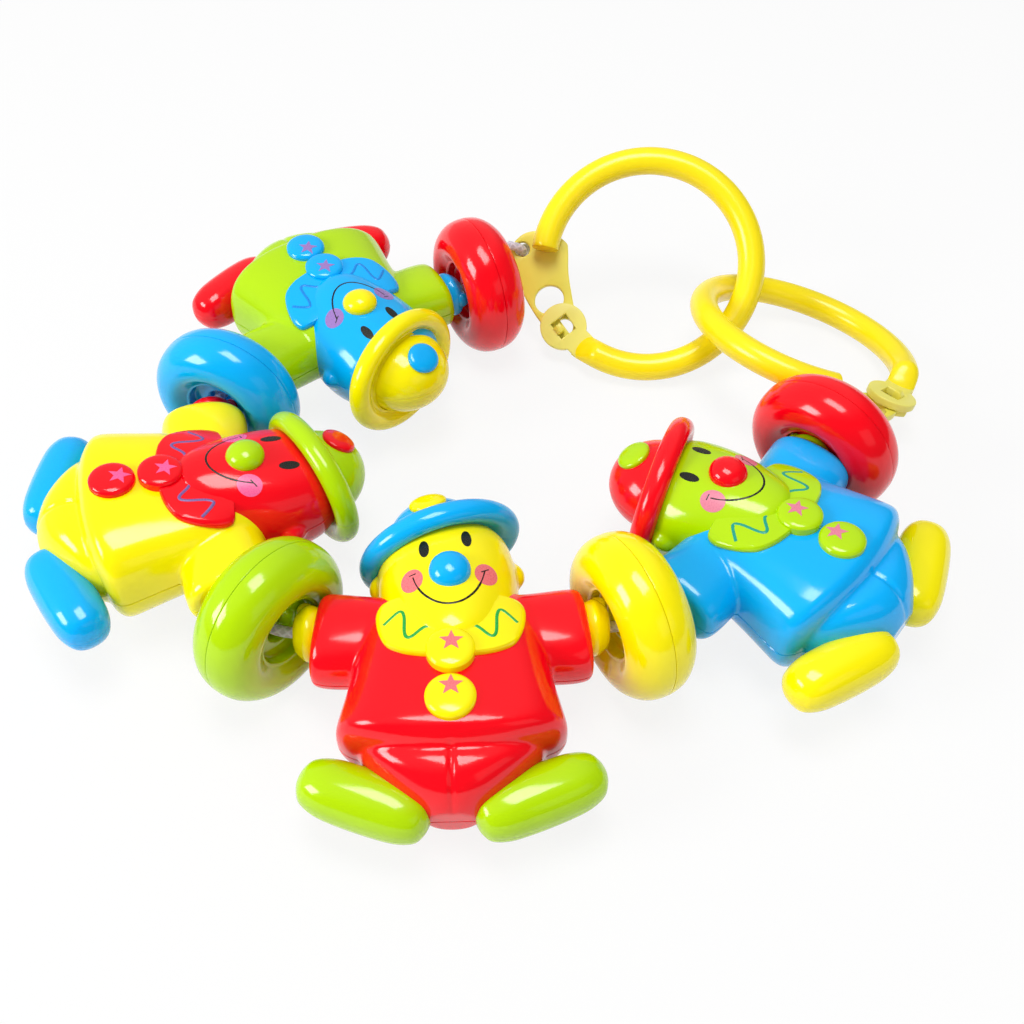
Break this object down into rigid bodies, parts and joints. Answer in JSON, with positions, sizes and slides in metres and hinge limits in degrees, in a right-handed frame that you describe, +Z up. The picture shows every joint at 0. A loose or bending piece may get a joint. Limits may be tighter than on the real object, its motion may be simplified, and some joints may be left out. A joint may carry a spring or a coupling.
{
  "type": "stroller mobile",
  "caption": "Garland of clown dolls and ring beads threaded on a cord, tied at each end to a hinged plastic ring clip, the clips linked through each other, for hanging across a stroller.",
  "frame": {"origin": "centre of the bounding box, on the surface that the mobile lies on", "axes": "+Z up from that surface; +X to the right and -Y to the front as the picture shows the mobile lying, so the garland is longest along X and the ring clips lie at its far right"},
  "size_m": [0.2272, 0.196, 0.0468],
  "materials": {
    "red_plastic": "glossy moulded plastic",
    "lime_plastic": "glossy moulded plastic",
    "yellow_plastic": "glossy moulded plastic",
    "blue_plastic": "glossy moulded plastic",
    "clip_plastic": "glossy moulded plastic",
    "white_cord": "smooth round white cord"
  },
  "bodies": {
    "cord": {"cord_white": "white_cord"},
    "figure_1": {"figure_1_belly_button": "blue_plastic", "figure_1_coat_back": "lime_plastic", "figure_1_coat_front": "lime_plastic", "figure_1_hands": "blue_plastic", "figure_1_hat": "yellow_plastic", "figure_1_hat_disc": "blue_plastic", "figure_1_head_back": "blue_plastic", "figure_1_head_front": "blue_plastic", "figure_1_nose": "yellow_plastic", "figure_1_shoe_left": "red_plastic", "figure_1_shoe_right": "red_plastic"},
    "figure_2": {"figure_2_belly_button": "red_plastic", "figure_2_coat_back": "yellow_plastic", "figure_2_coat_front": "yellow_plastic", "figure_2_hands": "red_plastic", "figure_2_hat": "lime_plastic", "figure_2_hat_disc": "red_plastic", "figure_2_head_back": "red_plastic", "figure_2_head_front": "red_plastic", "figure_2_nose": "lime_plastic", "figure_2_shoe_left": "blue_plastic", "figure_2_shoe_right": "blue_plastic"},
    "figure_3": {"figure_3_belly_button": "yellow_plastic", "figure_3_coat_back": "red_plastic", "figure_3_coat_front": "red_plastic", "figure_3_hands": "yellow_plastic", "figure_3_hat": "blue_plastic", "figure_3_hat_disc": "yellow_plastic", "figure_3_head_back": "yellow_plastic", "figure_3_head_front": "yellow_plastic", "figure_3_nose": "blue_plastic", "figure_3_shoe_left": "lime_plastic", "figure_3_shoe_right": "lime_plastic"},
    "figure_4": {"figure_4_belly_button": "lime_plastic", "figure_4_coat_back": "blue_plastic", "figure_4_coat_front": "blue_plastic", "figure_4_hands": "lime_plastic", "figure_4_hat": "red_plastic", "figure_4_hat_disc": "lime_plastic", "figure_4_head_back": "lime_plastic", "figure_4_head_front": "lime_plastic", "figure_4_nose": "red_plastic", "figure_4_shoe_left": "yellow_plastic", "figure_4_shoe_right": "yellow_plastic"},
    "bead_red_left": {"bead_red_left_half_1": "red_plastic", "bead_red_left_half_2": "red_plastic"},
    "bead_blue": {"bead_blue_half_1": "blue_plastic", "bead_blue_half_2": "blue_plastic"},
    "bead_lime": {"bead_lime_half_1": "lime_plastic", "bead_lime_half_2": "lime_plastic"},
    "bead_yellow": {"bead_yellow_half_1": "yellow_plastic", "bead_yellow_half_2": "yellow_plastic"},
    "bead_red_right": {"bead_red_right_half_1": "red_plastic", "bead_red_right_half_2": "red_plastic"},
    "clip_left_plate": {"clip_left_plate": "clip_plastic"},
    "clip_left_arm": {"clip_left_arm": "clip_plastic"},
    "clip_right_plate": {"clip_right_plate": "clip_plastic"},
    "clip_right_arm": {"clip_right_arm": "clip_plastic"}
  },
  "joints": [
    {"name": "figure_1_swing", "type": "hinge", "parent": "cord", "child": "figure_1", "pos_m": [-0.04263, 0.04559, 0.01865], "axis": [-0.8131, -0.5821, 0], "range_deg": [-30, 64]},
    {"name": "figure_2_swing", "type": "hinge", "parent": "cord", "child": "figure_2", "pos_m": [-0.06614, -0.01643, 0.01865], "axis": [0.2974, -0.9548, 0], "range_deg": [-72, 66]},
    {"name": "figure_3_swing", "type": "hinge", "parent": "cord", "child": "figure_3", "pos_m": [-0.01127, -0.05202, 0.01865], "axis": [0.9989, 0.0462, 0], "range_deg": [-22, 80]},
    {"name": "figure_4_swing", "type": "hinge", "parent": "cord", "child": "figure_4", "pos_m": [0.05473, -0.02114, 0.01865], "axis": [0.6428, 0.766, 0], "range_deg": [-28, 80]},
    {"name": "bead_red_left_spin", "type": "hinge", "parent": "cord", "child": "bead_red_left", "pos_m": [-0.00948, 0.06743, 0.019], "axis": [-0.8918, -0.4524, 0], "continuous": true},
    {"name": "bead_blue_spin", "type": "hinge", "parent": "cord", "child": "bead_blue", "pos_m": [-0.07223, 0.02049, 0.019], "axis": [-0.3181, -0.948, 0], "continuous": true},
    {"name": "bead_lime_spin", "type": "hinge", "parent": "cord", "child": "bead_lime", "pos_m": [-0.05097, -0.0499, 0.019], "axis": [0.8189, -0.5739, 0], "continuous": true},
    {"name": "bead_yellow_spin", "type": "hinge", "parent": "cord", "child": "bead_yellow", "pos_m": [0.02771, -0.04741, 0.019], "axis": [0.8963, 0.4435, 0], "continuous": true},
    {"name": "bead_red_right_spin", "type": "hinge", "parent": "cord", "child": "bead_red_right", "pos_m": [0.0788, 0.00679, 0.01891], "axis": [0.6404, 0.7604, 0.108], "continuous": true},
    {"name": "clip_left_swing", "type": "hinge", "parent": "cord", "child": "clip_left_plate", "pos_m": [0.00303, 0.08123, 0.02135], "axis": [-0.075, -0.6512, 0.7552], "range_deg": [-8, 0]},
    {"name": "clip_left_hinge", "type": "hinge", "parent": "clip_left_plate", "child": "clip_left_arm", "pos_m": [0.01524, 0.06269, 0.00803], "axis": [-0.075, -0.6512, 0.7552], "range_deg": [-20, 0]},
    {"name": "clip_right_swing", "type": "hinge", "parent": "cord", "child": "clip_right_plate", "pos_m": [0.0834, 0.01596, 0.01887], "axis": [0.254, 0.255, 0.933], "range_deg": [0, 4]},
    {"name": "clip_right_hinge", "type": "hinge", "parent": "clip_right_plate", "child": "clip_right_arm", "pos_m": [0.10231, 0.0316, 0.01062], "axis": [0.254, 0.255, 0.933], "range_deg": [-8, 0]}
  ]
}
